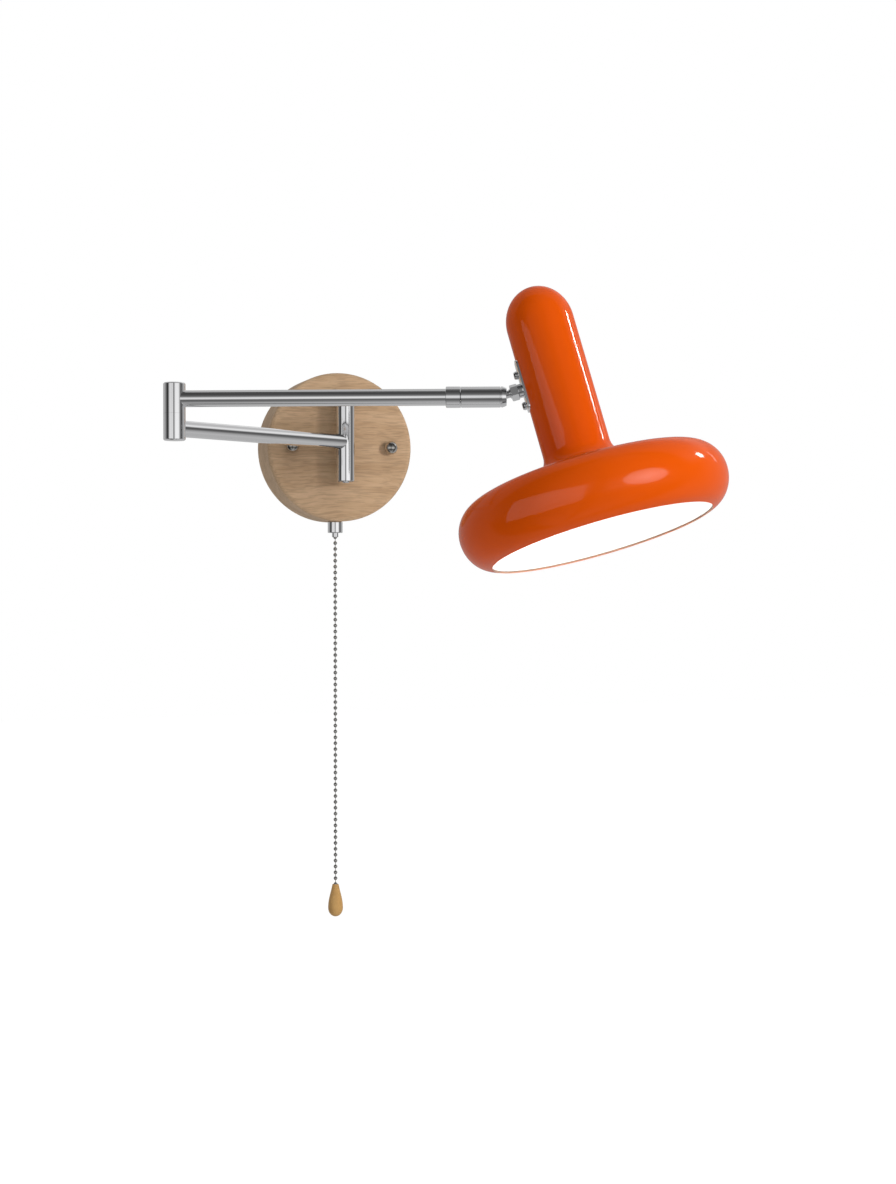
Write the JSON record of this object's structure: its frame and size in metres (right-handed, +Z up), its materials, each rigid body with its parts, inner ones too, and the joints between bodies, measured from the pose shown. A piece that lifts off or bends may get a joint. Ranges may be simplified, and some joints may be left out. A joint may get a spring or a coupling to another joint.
{
  "type": "swing arm wall lamp",
  "caption": "Wall lamp with a round wooden base, two hinged chromed arms, a ball-jointed gloss mushroom shade and a pull chain switch.",
  "frame": {"origin": "middle of the base's wall side, on the wall plane", "axes": "+Z up, +Y into the wall, +X right along the wall as seen from the room"},
  "size_m": [0.3781, 0.3628, 0.488],
  "materials": {
    "oak": "oiled oak, fine level grain",
    "beech": "oiled beech",
    "chrome": "polished chrome plate",
    "dark_chrome": "dark polished nickel",
    "steel": "zinc plated",
    "brass": "plain",
    "nylon": "moulded",
    "lead_sheath": "matt",
    "black_plastic": "moulded",
    "orange_paint": "gloss enamel outside, gloss white inside",
    "opal_glass": "opal",
    "white_plastic": "moulded"
  },
  "bodies": {
    "base": {"wooden_base": "oak", "mounting_strap": "steel", "mounting_studs": "steel", "cap_nuts": "dark_chrome", "earth_screw": "brass", "pivot_block": "chrome", "pivot_stub": "steel", "stub_fasteners": "steel", "pivot_spindle": "steel", "pivot_retainer": "steel", "pivot_bottom_screw": "chrome", "terminal_block": "black_plastic", "terminal_screws": "brass", "base_leads": "lead_sheath", "pull_switch_body": "black_plastic", "pull_switch_cover": "black_plastic", "switch_contacts": "brass", "switch_ferrule": "chrome"},
    "lower_arm": {"wall_pivot_sleeve": "chrome", "pivot_bushes": "nylon", "lower_arm_tube": "chrome", "lower_arm_leads": "lead_sheath", "elbow_lower_sleeve": "chrome", "elbow_pin": "steel", "elbow_bottom_cap": "chrome", "elbow_friction_washer": "nylon", "elbow_fasteners": "steel"},
    "upper_arm": {"elbow_upper_sleeve": "chrome", "elbow_bushes": "brass", "elbow_top_cap": "chrome", "upper_arm_tube": "chrome", "upper_arm_leads": "lead_sheath", "arm_end_collar": "chrome", "swivel_spindle": "steel", "swivel_friction_discs": "steel", "swivel_nut": "steel"},
    "head_swivel": {"swivel_sleeve": "chrome", "swivel_mouth_ring": "chrome", "ball_seat_cup": "nylon", "seat_springs": "steel"},
    "lamp_head": {"ball_stud": "chrome", "stud_nut": "chrome", "saddle_plate": "chrome", "saddle_screws": "chrome", "shade": "orange_paint", "holder_bracket": "steel", "holder_fittings": "steel", "lamp_holder_cap": "black_plastic", "lamp_holder_body": "black_plastic", "holder_shell": "brass", "holder_contact": "brass", "bulb_cap": "brass", "bulb_globe": "opal_glass", "bulb_led_stem": "white_plastic", "head_lead": "lead_sheath"},
    "pull_chain": {"switch_plunger": "steel", "switch_spring": "steel", "pull_chain": "chrome", "chain_coupling": "chrome", "wooden_bob": "beech"}
  },
  "joints": [
    {"name": "wall_swing", "type": "hinge", "parent": "base", "child": "lower_arm", "pos_m": [0, -0.0525, 0.003], "axis": [0, 0, 1], "range_deg": [-21, 139]},
    {"name": "elbow_swing", "type": "hinge", "parent": "lower_arm", "child": "upper_arm", "pos_m": [-0.15258, -0.14418, 0.003], "axis": [0, 0, -1], "range_deg": [-5, 155]},
    {"name": "shade_roll", "type": "hinge", "parent": "upper_arm", "child": "head_swivel", "pos_m": [0.06411, -0.23172, 0.0242], "axis": [0.9272, -0.3746, 0], "range_deg": [-51.6, 68.4]},
    {"name": "shade_tilt", "type": "hinge", "parent": "head_swivel", "child": "lamp_head", "pos_m": [0.06411, -0.23172, 0.0242], "axis": [0.3706, 0.9172, -0.1461], "range_deg": [-6.3, 37.7]},
    {"name": "chain_pull", "type": "slide", "parent": "base", "child": "pull_chain", "axis": [0, 0, -1], "range_m": [0, 0.006], "stiffness_N_per_m": 400, "springref_m": -0.002, "deforming": ["switch_spring"]}
  ]
}
